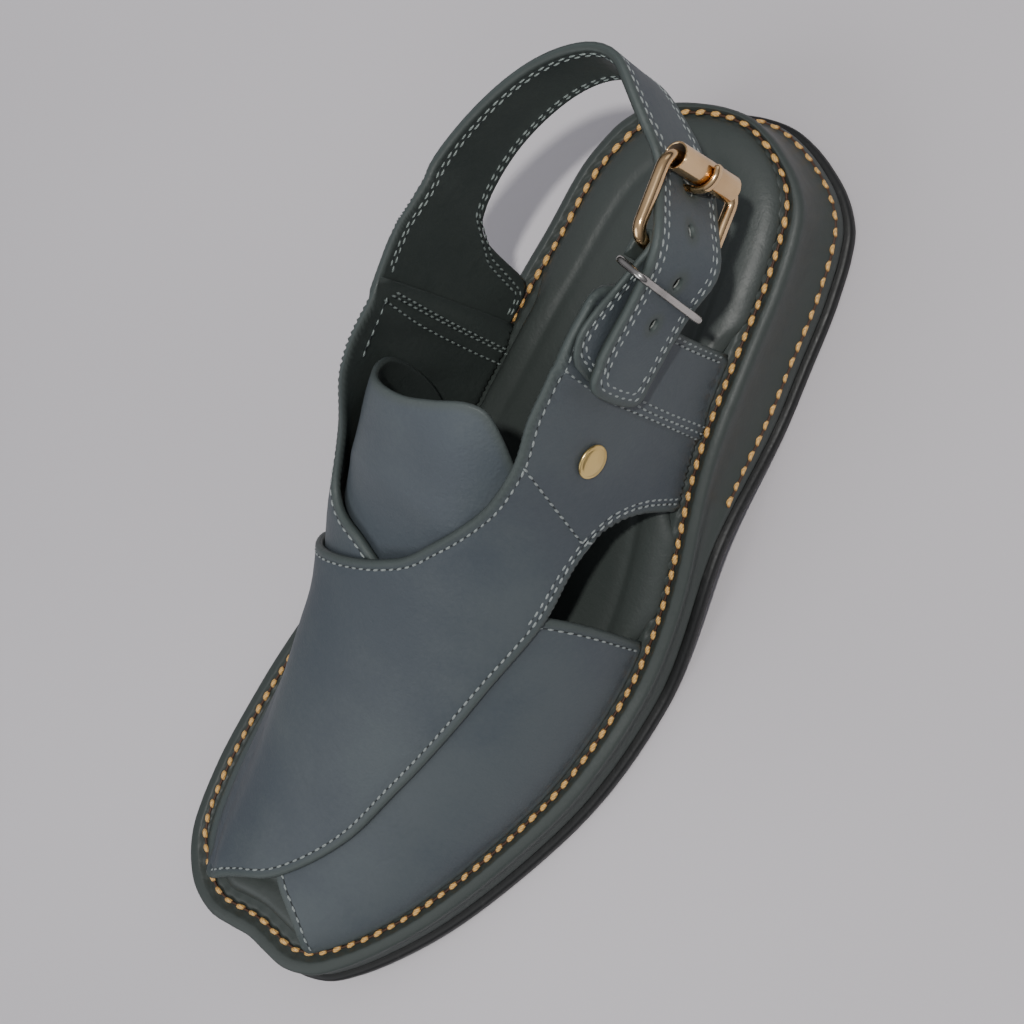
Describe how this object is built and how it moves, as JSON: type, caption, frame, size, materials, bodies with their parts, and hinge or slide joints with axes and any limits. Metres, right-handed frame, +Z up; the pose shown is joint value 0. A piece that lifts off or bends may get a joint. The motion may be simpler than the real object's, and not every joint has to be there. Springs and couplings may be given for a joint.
{
  "type": "sandal",
  "caption": "Left cross-strap chappal: welted sole with a coved heel, crossed leather straps open at the toe and sides, tongue, and a heel strap with a roller buckle.",
  "frame": {"origin": "on the ground under the middle of the shoe's bounding box", "axes": "+Z up, +Y from the toe to the heel, +X to the shoe's outer (little toe) side"},
  "size_m": [0.114, 0.29, 0.1098],
  "materials": {
    "outsole": "matt black tread rubber",
    "sole_leather": "matt dark green-grey leather",
    "upper_leather": "matt blue-grey leather",
    "lining": "smooth dark green lining leather",
    "rose_metal": "polished rose-coloured plating",
    "steel": "satin",
    "stud_brass": "dull antique brass"
  },
  "bodies": {
    "root": {"outsole": "outsole", "midsole": "sole_leather", "insole": "lining", "upper": "upper_leather", "tongue": "upper_leather", "heel_strap": "upper_leather", "buckle_strap": "upper_leather", "buckle_frame": "rose_metal", "buckle_roller": "rose_metal", "buckle_prong": "rose_metal", "keeper_loop": "steel", "snap_stud": "stud_brass"}
  },
  "joints": []
}
